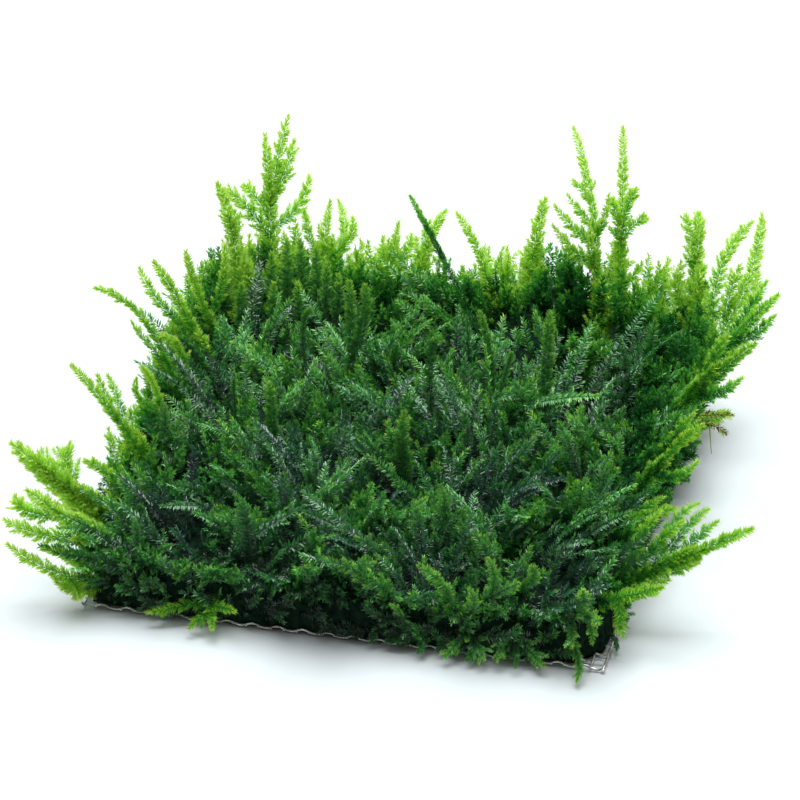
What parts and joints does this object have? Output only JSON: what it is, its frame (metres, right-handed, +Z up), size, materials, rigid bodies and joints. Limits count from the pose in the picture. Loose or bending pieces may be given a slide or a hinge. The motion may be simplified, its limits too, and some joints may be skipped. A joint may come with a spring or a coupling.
{
  "type": "moss mat",
  "caption": "Square mat of wet feathery water moss grown on a woven steel wire pad, with longer branched shoots leaning out all round.",
  "frame": {"origin": "centre of the underside of the square wire pad", "axes": "+X along the front edge of the pad, +Y from the front edge to the back edge, +Z up out of the pad"},
  "size_m": [0.1123, 0.0948, 0.0446],
  "materials": {
    "woven_steel": "plain drawn wire, slightly dull, woven over and under",
    "moss": "dense wet leafy shoots, dark blue-green inside with small cool glints",
    "moss_shoots": "thin translucent wet leaves, bright yellow-green towards the tips"
  },
  "bodies": {
    "root": {"wire_mesh": "woven_steel", "moss_cushion": "moss", "tall_shoot_back_left": "moss_shoots", "broad_shoot_back_left": "moss_shoots", "low_shoot_back_left": "moss_shoots", "back_shoot_left": "moss_shoots", "back_shoot_middle": "moss_shoots", "slanting_shoot_back": "moss_shoots", "back_shoot_centre": "moss_shoots", "tall_shoot_back_right_inner": "moss_shoots", "tall_shoot_back_right_outer": "moss_shoots", "corner_shoot_back_right": "moss_shoots", "outward_shoot_back_right": "moss_shoots", "right_shoot_back": "moss_shoots", "right_shoot_wide": "moss_shoots", "right_shoot_middle": "moss_shoots", "right_shoot_low": "moss_shoots", "long_shoot_front_right": "moss_shoots", "front_right_shoot": "moss_shoots", "thick_shoot_front_left": "moss_shoots", "forked_shoot_front_left": "moss_shoots", "trailing_shoot_front_left": "moss_shoots", "left_shoot_short": "moss_shoots", "left_shoot_long": "moss_shoots", "left_shoot_middle": "moss_shoots", "left_shoot_outward": "moss_shoots", "left_shoot_back_inner": "moss_shoots", "left_shoot_back": "moss_shoots", "middle_shoot_pair": "moss_shoots", "front_sprig": "moss_shoots", "leaning_shoot_back": "moss_shoots", "right_shoot_short": "moss_shoots", "middle_shoot_right": "moss_shoots", "middle_shoot_centre": "moss_shoots", "middle_shoot_front": "moss_shoots", "middle_shoot_left": "moss_shoots"}
  },
  "joints": []
}
